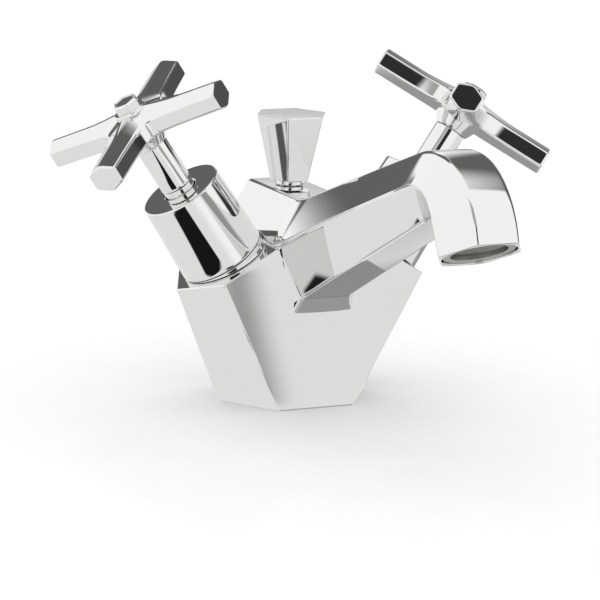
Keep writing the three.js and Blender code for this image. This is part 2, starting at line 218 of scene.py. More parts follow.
GROUPS = {
    "mixer_studio": MixerStudio,
    "mixer_body": MixerBodySizes,
    "mixer_spout": MixerSpoutSizes,
    "mixer_valve": MixerValveSizes,
    "mixer_handle": MixerHandleSizes,
    "mixer_finish": MixerFinishes,
}


# ---------- surfaces ----------

def round_corners(corners, cut, steps=4):
    """Closed outline with each corner swept off by a parabola.

    corners is (..., n, dims). For a corner C the curve runs from A, cut back towards the last
    corner, to B, cut towards the next: P(t) = (1-t)^2 A + 2t(1-t) C + t^2 B. The cut never passes
    45 per cent of a side. The result is (..., n * steps, dims).
    """
    before = np.roll(corners, 1, axis=-2) - corners
    after = np.roll(corners, -1, axis=-2) - corners

    def reach(side):
        size = np.linalg.norm(side, axis=-1, keepdims=True)
        size = np.maximum(size, 1e-12)
        return side * np.minimum(cut / size, 0.45)

    start, end = (corners + reach(before))[..., None, :], (corners + reach(after))[..., None, :]
    t = np.linspace(0.0, 1.0, steps)[:, None]
    curve = (1 - t) ** 2 * start + 2 * t * (1 - t) * corners[..., None, :] + t ** 2 * end
    return curve.reshape(*corners.shape[:-2], -1, corners.shape[-1])


def tube(inner, outer, low, high, cut=SMALL_EDGE):
    """Profile of a plain ring with rounded edges."""
    return round_corners(np.array([[inner, low], [outer, low], [outer, high], [inner, high]]), cut)


def revolve(profile, segments=96):
    """Closed profile of (radius, height) rows turned about Z: P(u, v) = (r(u) cos v, r(u) sin v, h(u))."""
    turn = np.linspace(0.0, 2 * np.pi, segments, endpoint=False)
    radius, height = profile[:, 0][:, None], profile[:, 1][:, None]
    return np.stack([radius * np.cos(turn), radius * np.sin(turn), height + 0 * turn], -1)


def stacked(outline, rows):
    """An outline of unit radius carried up Z: row k is the outline times rows[k][0] at height rows[k][1]."""
    rows = np.asarray(rows)
    flat = outline[None] * rows[:, 0][:, None, None]
    height = np.broadcast_to(rows[:, 1][:, None, None], flat[..., :1].shape)
    return np.concatenate([flat, height], -1)


def unit_hexagon(start=0.0):
    """Corners of a hexagon of unit radius, the first at the given angle."""
    turn = start + np.arange(6) * np.pi / 3
    return np.stack([np.cos(turn), np.sin(turn)], -1)


def capped(grid):
    """Adds the middle of the first and last rings as rows, so that both ends close on a point."""
    first = np.broadcast_to(grid[:1].mean(1, keepdims=True), grid[:1].shape)
    last = np.broadcast_to(grid[-1:].mean(1, keepdims=True), grid[-1:].shape)
    return np.concatenate([first, grid, last])


def carried(grid, matrix):
    """The grid moved by a 4x4 matrix."""
    turn = np.array(matrix)
    return grid @ turn[:3, :3].T + turn[:3, 3]


def grid_quads(rows, columns, looped):
    """Corner numbers of the quads between the points of a grid whose rows are rings, or open."""
    last = rows if looped is True else rows - 1
    width = columns - 1 if looped == "open" else columns
    i, j = np.arange(last)[:, None], np.arange(width)[None]
    up, across = (i + 1) % rows, (j + 1) % columns
    corners = [i * columns + j, i * columns + across, up * columns + across, up * columns + j]
    return np.stack(corners, -1).reshape(-1, 4)


def valve_matrix(side):
    """Frame of a valve, from its joint: +Z up the leaning axis, +X in the plane of both valves."""
    joint = JOINTS[f"{side}_handle_turn"]
    axis = Vector(joint["axis"]).normalized()
    across = Vector((0, 1, 0)).cross(axis)
    turn = Matrix((across, Vector((0, 1, 0)), axis)).transposed()
    return Matrix.Translation(joint["pos_m"]) @ turn.to_4x4()


def outlet_matrix(sizes):
    """Frame of the outlet: +Z runs from its face back into the spout."""
    spot = Matrix.Translation((0, -sizes.outlet_reach, sizes.outlet_height))
    return spot @ Matrix.Rotation(-sizes.outlet_tilt, 4, "X")


def build(name, grids, body, nodes=(), slot="chrome", material=None, bevel=0.0, crease=40.0):
    """Joins grids of points into one piece, each with how its rows close: True, False or "open".
    It has its slot's finish unless a material is given."""
    points, faces, offset = [], [], 0
    for grid, looped in grids:
        points.append(grid.reshape(-1, 3))
        faces.append(grid_quads(grid.shape[0], grid.shape[1], looped) + offset)
        offset += points[-1].shape[0]
    mesh = bpy.data.meshes.new(name)
    mesh.from_pydata(np.concatenate(points).tolist(), [], np.concatenate(faces).tolist())
    shell = bmesh.new()
    shell.from_mesh(mesh)
    bmesh.ops.remove_doubles(shell, verts=shell.verts, dist=2e-7)
    bmesh.ops.dissolve_degenerate(shell, edges=shell.edges, dist=1e-8)
    bmesh.ops.recalc_face_normals(shell, faces=shell.faces)
    shell.to_mesh(mesh)
    shell.free()
    mesh.materials.append(material or slot_material(slot))
    mesh.shade_smooth()
    mesh.set_sharp_from_angle(angle=np.radians(crease))
    piece = bpy.data.objects.new(name, mesh)
    bpy.context.scene.collection.objects.link(piece)
    if bevel:
        mesh.set_sharp_from_angle(angle=np.pi)
        soften = piece.modifiers.new("polished_edges", "BEVEL")
        soften.width, soften.segments = bevel, 4
        soften.limit_method, soften.angle_limit = "ANGLE", np.radians(20)
    flatten = piece.modifiers.new("flat_facets", "WEIGHTED_NORMAL")
    flatten.keep_sharp, flatten.weight = True, 70
    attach(piece, body)
    if nodes:
        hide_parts(*nodes)
    return piece


# ---------- finishes ----------

def maths(tree, operation, *values):
    """Output of a maths node whose inputs are sockets or numbers."""
    node = tree.nodes.new("ShaderNodeMath")
    node.operation = operation
    for socket, value in zip(node.inputs, values):
        if isinstance(value, bpy.types.NodeSocket):
            tree.links.new(value, socket)
        else:
            socket.default_value = value
    return node.outputs[0]


def soft_mask(tree, offset, outer, inner):
    """1 where the offset's size is below inner, 0 past outer, and a smooth step between."""
    step = tree.nodes.new("ShaderNodeMapRange")
    step.interpolation_type = "SMOOTHSTEP"
    step.inputs["From Min"].default_value = outer
    step.inputs["From Max"].default_value = inner
    tree.links.new(maths(tree, "ABSOLUTE", offset), step.inputs["Value"])
    return step.outputs[0]


def mix_shaders(tree, factor, first, second):
    """Output of a mix of two shaders."""
    node = tree.nodes.new("ShaderNodeMixShader")
    for socket, output in zip(node.inputs, (factor, first, second)):
        tree.links.new(output, socket)
    return node.outputs[0]


def shader_group(name, inputs, outputs):
    """Empty shader node group with named sockets, given as (name, socket type, default)."""
    group = bpy.data.node_groups.new(name, "ShaderNodeTree")
    for label, kind, default in inputs:
        socket = group.interface.new_socket(name=label, in_out="INPUT", socket_type=kind)
        socket.default_value = default
    for label, kind in outputs:
        group.interface.new_socket(name=label, in_out="OUTPUT", socket_type=kind)
    return group, group.nodes.new("NodeGroupInput"), group.nodes.new("NodeGroupOutput")


def polish_group():
    """Fine unevenness of a buffed surface: wiped haze in the roughness and a long, faint swell.

    Roughness = base + haze * smudges, and Height mixes a slow swell with a fine grain.
    """
    if "Buffed surface" in bpy.data.node_groups:
        return bpy.data.node_groups["Buffed surface"]
    group, source, sink = shader_group("Buffed surface", [
        ("Roughness", "NodeSocketFloat", 0.05), ("Haze", "NodeSocketFloat", 0.04),
        ("Swell size", "NodeSocketFloat", 60.0), ("Grain size", "NodeSocketFloat", 900.0),
        ("Grain", "NodeSocketFloat", 0.2),
    ], [("Roughness", "NodeSocketFloat"), ("Height", "NodeSocketFloat"), ("Tone", "NodeSocketFloat")])
    nodes, links = group.nodes, group.links
    spot = nodes.new("ShaderNodeTexCoord")
    smudge, swell, grain = (nodes.new("ShaderNodeTexNoise") for _ in range(3))
    smudge.inputs["Scale"].default_value, smudge.inputs["Detail"].default_value = 35.0, 5.0
    for node in (smudge, swell, grain):
        links.new(spot.outputs["Object"], node.inputs["Vector"])
    links.new(source.outputs["Swell size"], swell.inputs["Scale"])
    links.new(source.outputs["Grain size"], grain.inputs["Scale"])
    band = nodes.new("ShaderNodeMapRange")
    band.inputs["From Min"].default_value = 0.45
    band.inputs["From Max"].default_value = 0.75
    links.new(smudge.outputs["Fac"], band.inputs["Value"])
    haze = maths(group, "MULTIPLY_ADD", band.outputs["Result"], source.outputs["Haze"],
                 source.outputs["Roughness"])
    links.new(haze, sink.inputs["Roughness"])
    height = maths(group, "MULTIPLY_ADD", grain.outputs["Fac"], source.outputs["Grain"],
                   swell.outputs["Fac"])
    links.new(height, sink.inputs["Height"])
    tone = nodes.new("ShaderNodeMapRange")
    tone.inputs["To Min"].default_value = 0.97
    links.new(smudge.outputs["Fac"], tone.inputs["Value"])
    links.new(tone.outputs["Result"], sink.inputs["Tone"])
    return group


def finish_material(name, tint, metallic, roughness, haze, bump, grain=0.2, grain_size=900.0):
    """A Principled material whose roughness, tone and bump come from the buffed-surface group."""
    if name in bpy.data.materials:
        return bpy.data.materials[name]
    material = bpy.data.materials.new(name)
    material.use_nodes = True
    nodes, links = material.node_tree.nodes, material.node_tree.links
    shader = nodes["Principled BSDF"]
    shader.inputs["Metallic"].default_value = metallic
    surface = nodes.new("ShaderNodeGroup")
    surface.node_tree = polish_group()
    values = {"Roughness": roughness, "Haze": haze, "Grain": grain, "Grain size": grain_size}
    for label, value in values.items():
        surface.inputs[label].default_value = value
    links.new(surface.outputs["Roughness"], shader.inputs["Roughness"])
    tone = nodes.new("ShaderNodeMix")
    tone.data_type = "RGBA"
    tone.blend_type = "MULTIPLY"
    tone.inputs["Factor"].default_value = 1.0
    tone.inputs["A"].default_value = (*tint, 1.0)
    links.new(surface.outputs["Tone"], tone.inputs["B"])
    links.new(tone.outputs["Result"], shader.inputs["Base Color"])
    relief = nodes.new("ShaderNodeBump")
    relief.inputs["Strength"].default_value = bump
    relief.inputs["Distance"].default_value = 0.0002
    links.new(surface.outputs["Height"], relief.inputs["Height"])
    links.new(relief.outputs["Normal"], shader.inputs["Normal"])
    return material


def slot_material(slot):
    """Finish by the slot's name in the record."""
    tints = bpy.context.scene.mixer_finish
    made = {
        "chrome": ("Polished chrome", tints.chrome, 1.0, 0.015, 0.03, 0.012),
        "brass": ("Machined brass", tints.brass, 1.0, 0.28, 0.12, 0.25, 0.8, 1600.0),
        "steel": ("Brushed steel", tints.steel, 1.0, 0.3, 0.12, 0.2, 0.8, 1400.0),
        "ceramic": ("Lapped ceramic", tints.ceramic, 0.0, 0.25, 0.1, 0.1),
        "rubber": ("Seal rubber", tints.rubber, 0.0, 0.6, 0.2, 0.5, 0.8, 1200.0),
        "plastic": ("Moulded plastic", tints.plastic, 0.0, 0.45, 0.1, 0.3),
    }
    return finish_material(*made[slot])


# ---------- body ----------

def block_rings(sizes):
    """Six-cornered rings from the middle of the recess out over the base, waist and ridge.

    Each side of a ring is split evenly: P(s) = C_i + (C_(i+1) - C_i) s, and the recess rings are
    circles at the same turn as the points of the base ring.
    """
    def ring(front, side, back):
        right = np.array([front, side, back])
        left = right[::-1] * (-1, 1, 1)
        return np.concatenate([right, left])

    waist = ring(sizes.waist_front, sizes.waist_side, sizes.waist_back)
    lean = (sizes.waist_front[1] - sizes.base_front[1]) / sizes.waist_front[2]
    top = sizes.ridge_height
    ridge_front = (sizes.ridge_half, sizes.base_front[1] + lean * top, top)
    ridge_back = (sizes.ridge_half, sizes.base_back[1], top)
    ridge_side = (sizes.ridge_half, sizes.waist_side[1], top)
    corners = np.stack([
        ring(sizes.base_front, sizes.base_side, sizes.base_back), waist,
        ring(ridge_front, ridge_side, ridge_back),
    ])
    split = np.linspace(0.0, 1.0, 8, endpoint=False)[None, None, :, None]
    sides = corners[:, :, None] + (np.roll(corners, -1, axis=1) - corners)[:, :, None] * split
    rings = sides.reshape(3, -1, 3)
    turn = np.arctan2(rings[0, :, 1], rings[0, :, 0])
    circle = np.stack([np.cos(turn), np.sin(turn), 0 * turn], -1) * sizes.recess_radius
    ceiling = circle + (0, 0, sizes.recess_depth)
    return capped(np.concatenate([ceiling[None], circle[None], rings]))


class MIXER_OT_body(bpy.types.Operator):
    """Faceted body block with its recess, inlet sockets and the rings under the shrouds."""

    bl_idname = "mixer.body"
    bl_label = "Body block"

    def execute(self, context):
        sizes = context.scene.mixer_body
        build("body_block", [(block_rings(sizes), False)], ROOT, ["body_casting"], bevel=sizes.edge)
        valve = context.scene.mixer_valve
        hole, foot = 0.008, 0.001
        seat = tube(hole, valve.seat_radius, foot, valve.seat_top)
        seats = [(carried(revolve(seat), valve_matrix(side)), True) for side in SIDES]
        build("valve_seats", seats, ROOT, ["body_casting"])
        outer, inner, ceiling = 0.0054, 0.004, sizes.recess_depth
        root, rim, bottom = ceiling + 0.001, ceiling - 0.004, ceiling - 0.0002
        cup = round_corners(np.array([
            [0.0, root], [outer, root], [outer, rim], [inner, rim], [inner, bottom], [0.0, bottom],
        ]), SMALL_EDGE)
        apart, back = 0.009, -0.0041
        spots = [Matrix.Translation((x, back, 0)) for x in (-apart, apart)]
        cups = [(carried(revolve(cup, 48), spot), True) for spot in spots]
        build("inlet_sockets", cups, ROOT, slot="brass")
        return {"FINISHED"}


# ---------- rib and spout ----------

def top_edge(sizes, t):
    """Upper long edge: straight for t in 0..1, then one arc about the crest's centre for t in 1..3."""
    rise, middle, last = np.radians((-20.0, 36.0, 75.0))
    bend = np.interp(t, [1.0, 2.0, 3.0], [rise, middle, last])
    arc = np.stack([
        sizes.crest_reach + sizes.crest_radius * np.sin(bend),
        sizes.crest_height + sizes.crest_radius * np.cos(bend),
    ], -1)
    start = np.array([sizes.rib_front, sizes.rib_top])
    share = np.minimum(t, 1.0)[:, None]
    return np.where(t[:, None] < 1.0, start + (arc - start) * share, arc)


def lower_edge(start, control, bend_start, end, drop, radius, t):
    """Side or lower long edge: a parabola for t in 0..1, a line and an arc of the given radius for
    t in 1..2, and a straight drop to the outlet for t in 2..3, all as (forward, up)."""
    root = np.clip(t, 0.0, 1.0)[:, None]
    parabola = (1 - root) ** 2 * start + 2 * root * (1 - root) * control + root ** 2 * bend_start
    up = (bend_start - control) / np.linalg.norm(bend_start - control)
    gap = end - bend_start
    reach = (gap[0] * drop[1] - gap[1] * drop[0]) / (up[0] * drop[1] - up[1] * drop[0])
    corner = bend_start + up * reach
    turn = np.arccos(np.dot(up, drop))
    tangent = radius * np.tan(turn / 2)
    arc_start, arc_end = corner - up * tangent, corner + drop * tangent
    centre = arc_start + np.array([up[1], -up[0]]) * radius
    line = reach - tangent
    along = np.clip(t - 1.0, 0.0, 1.0) * (line + radius * turn)
    swung = np.clip(along - line, 0.0, None) / radius
    first = np.arctan2(*(arc_start - centre)[::-1])
    arc = centre + radius * np.stack([np.cos(first - swung), np.sin(first - swung)], -1)
    bend = np.where((along < line)[:, None], bend_start + up * along[:, None], arc)
    straight = arc_end + (end - arc_end) * np.clip(t - 2.0, 0.0, 1.0)[:, None]
    t = t[:, None]
    return np.where(t < 1.0, parabola, np.where(t < 2.0, bend, straight))


def spout_edges(sizes, body):
    """The top, side and bottom long edges as (3, n, 2) rows of (forward, up), from the back of the
    rib to the outlet. Where the level rib turns up into the spout, each edge is the mean of itself
    over a window either side, which rounds the bend."""
    flat = sizes.outlet_side * HEXAGON
    tilt = sizes.outlet_tilt
    middle = np.array([sizes.outlet_reach, sizes.outlet_height])
    heel = middle - flat * np.array([np.cos(tilt), np.sin(tilt)])
    drop = np.array([np.sin(tilt), -np.cos(tilt)])

    def edges(t):
        rib = np.clip(-t, 0.0, 1.0)[:, None] * (-(sizes.rib_front + sizes.back), 0)
        spout = np.maximum(t, 0.0)
        start = np.array([sizes.rib_front, body.ridge_height])
        low = np.array([sizes.rib_front, sizes.root_height])
        side = lower_edge(start, np.array(sizes.side_control), np.array(sizes.side_bend), middle, drop,
                          sizes.side_radius, spout)
        bottom = lower_edge(low, np.array(sizes.heel_control), np.array(sizes.heel_bend), heel, drop,
                            sizes.heel_radius, spout)
        return np.stack([top_edge(sizes, spout), side, bottom]) + rib

    t = np.concatenate([
        np.linspace(-1.0, -0.25, 4), np.linspace(-0.2, 0.3, 51), np.linspace(0.32, 1.0, 24),
        np.linspace(1.0, 2.0, 49)[1:], np.linspace(2.0, 3.0, 17)[1:],
    ])
    bend_at, half_window = 0.05, 0.25
    off = t - bend_at
    swell = sizes.bend * np.cos(np.pi / 2 * off / half_window)
    window = np.where(np.abs(off) < half_window, swell, 0.0)
    shifts = np.linspace(-1.0, 1.0, 15)
    return np.mean([edges(t + window * shift) for shift in shifts], 0)


def spout_rings(sizes, body):
    """Rings of the rib and spout: a hexagon with rounded corners at each section.

    The top, side and bottom corners follow the three long edges at a shared parameter. Each flat
    bows out by 4 b s (1 - s). In front of the body's face each ring grows about its middle by
    r - sqrt(r^2 - (r - d)^2), where d is the distance ahead of the face: the concave root. Its
    radius r eases from the sides' value to the larger one under the spout, and the root fades out
    towards the shoulders and inside the body.
    """
    edges = spout_edges(sizes, body)
    share = np.clip((edges[1, :, 0] - sizes.rib_front) / (sizes.outlet_reach - sizes.rib_front), 0, 1)
    width = sizes.rib_side + (sizes.outlet_side - sizes.rib_side) * share
    across = np.array([0.5, 1.0, 0.5, -0.5, -1.0, -0.5])
    order = edges[[0, 1, 2, 2, 1, 0]]
    corners = np.stack([across[:, None] * width, -order[..., 0], order[..., 1]], -1).swapaxes(0, 1)
    rings = round_corners(corners, sizes.edge, 6)
    rings = bowed(rings, 6, sizes.bow)
    lean = (body.waist_front[1] - body.base_front[1]) / body.waist_front[2]
    ahead = body.base_front[1] + lean * rings[..., 2] - rings[..., 1]
    under = 1 - smooth_step(rings[..., 2], sizes.root_height, sizes.heel_top)
    radius = sizes.fillet + (sizes.heel_fillet - sizes.fillet) * under
    short = np.clip(radius - ahead, 0.0, radius)
    flare = radius - np.sqrt(radius ** 2 - short ** 2)
    fade_top, fade_depth = 0.062, 0.012
    low = np.clip((fade_top - rings[..., 2]) / fade_depth, 0.0, 1.0)
    inside, near_face = -0.006, -0.003
    flare = (flare * low * smooth_step(ahead, inside, near_face))[..., None]
    centre = rings.mean(1, keepdims=True)
    return centre + (rings - centre) * (1 + flare / (width[:, None, None] * HEXAGON))


def bowed(rings, steps, bow, cells=6):
    """Splits the flat after each rounded corner into cells and bows it out from the ring's middle.

    On the flat from A to B, P(s) = A + (B - A) s + 4 b s (1 - s) n, where n points away from the
    middle of the ring.
    """
    corners = rings.reshape(rings.shape[0], -1, steps, 3)
    start, end = corners[:, :, -1:], np.roll(corners, -1, axis=1)[:, :, :1]
    middle = corners.reshape(rings.shape[0], -1, 3).mean(1)[:, None, None]
    out = (start + end) / 2 - middle
    out = out / np.linalg.norm(out, axis=-1, keepdims=True)
    s = np.linspace(0.0, 1.0, cells + 1)[1:-1][None, None, :, None]
    flats = start + (end - start) * s + 4 * bow * s * (1 - s) * out
    return np.concatenate([corners, flats], 2).reshape(rings.shape[0], -1, 3)


def spout_grid(sizes, body):
    """The rib's rounded back, the rings, and the outlet's rim, mouth and bore as circles."""
    rings = spout_rings(sizes, body)
    first, last = rings[0], rings[-1]
    middle = first.mean(0)
    back_soft, rim_soft = sizes.edge * 0.6, 0.00035
    back = np.stack([
        middle + (first - middle) * (1 - back_soft * share / sizes.rib_side) + (0, depth, 0)
        for share, depth in ((1.0, 0.0), (0.3, -back_soft * 0.3), (0.0, -back_soft))
    ])
    local = carried(last, outlet_matrix(sizes).inverted())
    turn = np.arctan2(local[:, 1], local[:, 0])
    circle = np.stack([np.cos(turn), np.sin(turn), 0 * turn], -1)
    rim = [
        local * (1, 1, 0) + (0, 0, rise * rim_soft) - circle * rim_soft * share
        for share, rise in ((0.0, 1.0), (0.3, 0.3), (1.0, 0.0))
    ]
    shelf, floor_of_bore = 0.006, 0.0099
    mouth = [(sizes.bore + rim_soft, 0.0), (sizes.bore + 0.3 * rim_soft, 0.3 * rim_soft),
             (sizes.bore, rim_soft), (sizes.bore, shelf), (sizes.bore, floor_of_bore)]
    bore = [circle * radius + (0, 0, depth) for radius, depth in mouth]
    end = carried(np.stack(rim + bore), outlet_matrix(sizes))
    return capped(np.concatenate([back, rings[1:-1], end]))


class MIXER_OT_spout(bpy.types.Operator):
    """Hexagonal rib and rising spout, with its concave root and round mouth."""

    bl_idname = "mixer.spout"
    bl_label = "Rib and spout"

    def execute(self, context):
        grid = spout_grid(context.scene.mixer_spout, context.scene.mixer_body)
        build("rib_and_spout", [(grid, False)], ROOT, ["body_casting"])
        return {"FINISHED"}


class MIXER_OT_aerator(bpy.types.Operator):
    """Aerator ring and its woven mesh inside the outlet."""

    bl_idname = "mixer.aerator"
    bl_label = "Aerator"

    def execute(self, context):
        matrix = outlet_matrix(context.scene.mixer_spout)
        outer, mouth, throat = 0.0118, 0.0093, 0.0083
        face, shelf, top = 0.0006, 0.006, 0.0075
        profile = round_corners(np.array([
            [mouth, face], [outer, face], [outer, top], [throat, top], [throat, shelf], [mouth, shelf],
        ]), SMALL_EDGE)
        ring = carried(revolve(profile), matrix)
        build("aerator_ring", [(ring, True)], ROOT, ["aerator_housing"], "steel")
        disc = self.woven_disc(radius=0.009, depth=0.0022, thickness=0.0012, pitch=0.00075, wave=0.00035)
        mesh = carried(disc, matrix)
        tint = context.scene.mixer_finish.mesh
        finish = finish_material("Woven steel", tint, 1.0, 0.4, 0.1, 0.2, 0.8, 1500.0)
        build("aerator_weave", [(mesh, False)], ROOT, ["aerator_mesh"], "steel", finish, crease=180.0)
        return {"FINISHED"}

    @staticmethod
    def woven_disc(radius, depth, thickness, pitch, wave):
        """Disc ribbed along Y: z = depth + wave (1 + cos(2 pi x / pitch)), with a flat back.

        The rows run across X, and each row is a narrow closed loop over the face and the back.
        """
        x = np.linspace(-radius, radius, 241)[1:-1]
        half = np.sqrt(radius ** 2 - x ** 2)
        across = np.linspace(-1.0, 1.0, 9)
        face = np.stack(np.broadcast_arrays(
            x[:, None], half[:, None] * across,
            (depth + wave * (1 + np.cos(2 * np.pi * x / pitch)))[:, None]), -1)
        rear = np.stack(np.broadcast_arrays(
            x[:, None], half[:, None] * across[::-1], np.full_like(x, depth + thickness)[:, None]), -1)
        return capped(np.concatenate([face, rear], 1))


# ---------- valves ----------

class MIXER_OT_valves(bpy.types.Operator):
    """Shroud and gland of both valves."""

    bl_idname = "mixer.valves"
    bl_label = "Valve shrouds"

    def execute(self, context):
        sizes = context.scene.mixer_valve
        foot, top = sizes.shroud_bottom, sizes.shroud_top
        wide, narrow, under = 0.0133, 0.0125, top - 0.002
        shroud = round_corners(np.array([
            [wide, foot], [sizes.shroud_foot_radius, foot], [sizes.shroud_top_radius, top],
            [sizes.shroud_hole, top], [sizes.shroud_hole, under], [narrow, under],
        ]), 2 * SMALL_EDGE, 6)
        bore, base = 0.00405, 0.037
        gland = tube(bore, sizes.gland_radius, base, sizes.gland_top)
        for side in SIDES:
            matrix = valve_matrix(side)
            build(f"{side}_shroud_shell", [(carried(revolve(shroud, 160), matrix), True)], ROOT,
                  [f"{side}_shroud"])
            build(f"{side}_gland", [(carried(revolve(gland), matrix), True)], ROOT)
        return {"FINISHED"}


# ---------- cross handles ----------

def arm_profile(sizes):
    """Half section of an arm, from the top ridge over the side to the lower ridge, as (out, up).

    out is a share of the half width. The ridge is a small parabola, and the two shoulders are
    rounded corners of the outline.
    """
    slope = (sizes.half_height - sizes.shoulder) / sizes.half_width
    cut, crown_width = sizes.edge, sizes.crown
    w = np.linspace(0.0, crown_width, 5)
    drop = slope * (crown_width / 2 + w ** 2 / (2 * crown_width))
    crown = np.stack([w, sizes.half_height - drop], -1)
    corners = np.array([
        [crown_width, sizes.half_height - slope * crown_width], [sizes.half_width, sizes.shoulder],
        [sizes.half_width, -sizes.shoulder], [crown_width, -sizes.half_height + slope * crown_width],
    ])
    shoulders = round_corners(corners, cut, 6)[6:18]
    half = np.concatenate([crown, shoulders, crown[::-1] * (1, -1)])
    return half / (sizes.half_width, 1.0)


def smooth_step(value, low, high):
    """0 below low, 1 above high, and s^2 (3 - 2s) between."""
    share = np.clip((value - low) / (high - low), 0.0, 1.0)
    return share ** 2 * (3 - 2 * share)


def cross_quadrant(sizes):
    """Quarter of the cross between two arms, as a grid of plan point by section point.

    The outline is the hyperbola (x - h)(y - h) = k^2, which runs in along one arm, round the inner
    corner and out along the next. Each of its points has a foot on the arms' middle lines, and
    P(u, v) = foot(u) + out(v) (outline(u) - foot(u)), at height up(v). The top rises to the hub as
    a low dome.
    """
    bend = sizes.corner
    wall = (sizes.half_width * (sizes.reach - sizes.edge) - bend ** 2) / (sizes.reach - sizes.edge)
    wall = sizes.half_width - bend ** 2 / (sizes.reach - wall)
    last = np.log((sizes.reach - sizes.edge - wall) / bend)
    turn = np.linspace(last, -last, 81)
    x, y = wall + bend * np.exp(turn), wall + bend * np.exp(-turn)
    outline = np.stack([x, y], -1)
    feet = np.stack([x * smooth_step(turn, 0.0, 1.3), y * smooth_step(-turn, 0.0, 1.3)], -1)
    profile = arm_profile(sizes)
    plan = feet[:, None] + profile[None, :, :1] * (outline - feet)[:, None]
    away = np.linalg.norm(plan, axis=-1)
    rise = 1 - smooth_step(away, -sizes.dome_end, sizes.dome_start)
    height = profile[None, :, 1] + sizes.dome_rise * rise * (profile[:, 1] > 0)
    return np.concatenate([plan, height[..., None]], -1)


def cross_patch(sizes):
    """The quadrant with a rounded end face on both tips.

    An end face is the end section drawn in by up to the edge cut while it moves out to the full
    reach, along a quarter circle, and then closed on the middle line of the arm.
    """
    quarter, cut = cross_quadrant(sizes), sizes.edge

    def end_rows(section, outward, inward):
        share = np.sin(np.linspace(0.0, np.pi / 2, 6))[1:, None]
        shrink = cut * (1 - np.sqrt(1 - share ** 2))
        rows = np.repeat(section[None], 6, 0)
        rows[:5, :, inward] *= 1 - shrink / sizes.half_width
        rows[:5, :, 2] *= 1 - shrink / sizes.half_height
        rows[:, :, outward] = sizes.reach
        rows[:5, :, outward] = sizes.reach - cut + cut * share
        rows[5, :, inward], rows[5, :, 2] = 0.0, rows[4, :, 2]
        return rows

    return np.concatenate([end_rows(quarter[0], 0, 1)[::-1], quarter, end_rows(quarter[-1], 1, 0)])


class MIXER_OT_handles(bpy.types.Operator):
    """Cross handles, neck sleeves and index caps, each on its own turning body."""

    bl_idname = "mixer.handles"
    bl_label = "Cross handles"

    def execute(self, context):
        sizes, valve = context.scene.mixer_handle, context.scene.mixer_valve
        for side, turn in (("left", sizes.left_turn), ("right", sizes.right_turn)):
            body = f"{side}_turning_parts"
            matrix = valve_matrix(side)
            self.cross(side, turn, matrix, body, sizes, valve)
            sleeve = tube(valve.spindle_bore, valve.sleeve_radius, valve.sleeve_bottom, valve.sleeve_top)
            build(f"{side}_sleeve", [(carried(revolve(sleeve), matrix), True)], body,
                  [f"{side}_neck_sleeve"])
            self.cap(side, turn, matrix, body, sizes)
        return {"FINISHED"}

    @staticmethod
    def cross(side, turn, matrix, body, sizes, valve):
        """Four quadrants, and the boss under them turned from a flare: over its height, s from 0 to
        1, the radius grows by the share (1 - c) s + c s^2."""
        lift = Matrix.Translation((0, 0, sizes.plane))
        patch = cross_patch(sizes)
        grids = []
        for k in range(4):
            spin = Matrix.Rotation(turn + k * np.pi / 2, 4, "Z")
            grids.append((carried(patch, matrix @ lift @ spin), "open"))
        low, high = sizes.boss_bottom, sizes.plane + 0.001
        foot, wide = valve.sleeve_radius + 0.0007, sizes.boss_radius
        start, curl = low + SMALL_EDGE, 0.1
        share = np.linspace(0.0, 1.0, 14)
        out = (1 - curl) * share + curl * share ** 2
        flare = np.stack([foot + (wide - foot) * out, start + (high - start) * share], -1)
        outline = np.concatenate([
            [[valve.spindle_bore, low], [foot - SMALL_EDGE, low]], flare, [[valve.spindle_bore, high]]])
        grids.append((carried(revolve(outline), matrix), True))
        build(f"{side}_cross", grids, body, [f"{side}_handle"])

    @staticmethod
    def cap(side, turn, matrix, body, sizes):
        """Round foot, and a hexagon with a chamfered, slightly sunk top."""
        core, sunk = 0.001, 0.001
        foot = tube(core, sizes.cap_ring_radius, sizes.cap_bottom, sizes.cap_ring, 2 * SMALL_EDGE)
        outline = round_corners(unit_hexagon(), 0.12, 5)
        # How far each row is drawn in from the corner radius, and how far it is below the top.
        inset = np.array([0.0, 0.0, 0.0001, 0.0006, 0.0008, 0.0011, 0.0013, 0.0030])
        below = np.array([sizes.cap_top - sizes.cap_ring + sunk, 0.0008, 0.0006, 0.00005, 0.0, 0.0,
                          0.0002, 0.0002])
        rows = np.stack([sizes.cap_hex_radius - inset, sizes.cap_top - below], -1)
        nut = capped(stacked(outline, rows))
        spin = Matrix.Rotation(turn, 4, "Z")
        build(f"{side}_index", [(carried(revolve(foot), matrix), True), (carried(nut, matrix @ spin), False)],
              body, [f"{side}_index_cap"])


# ---------- lift knob ----------

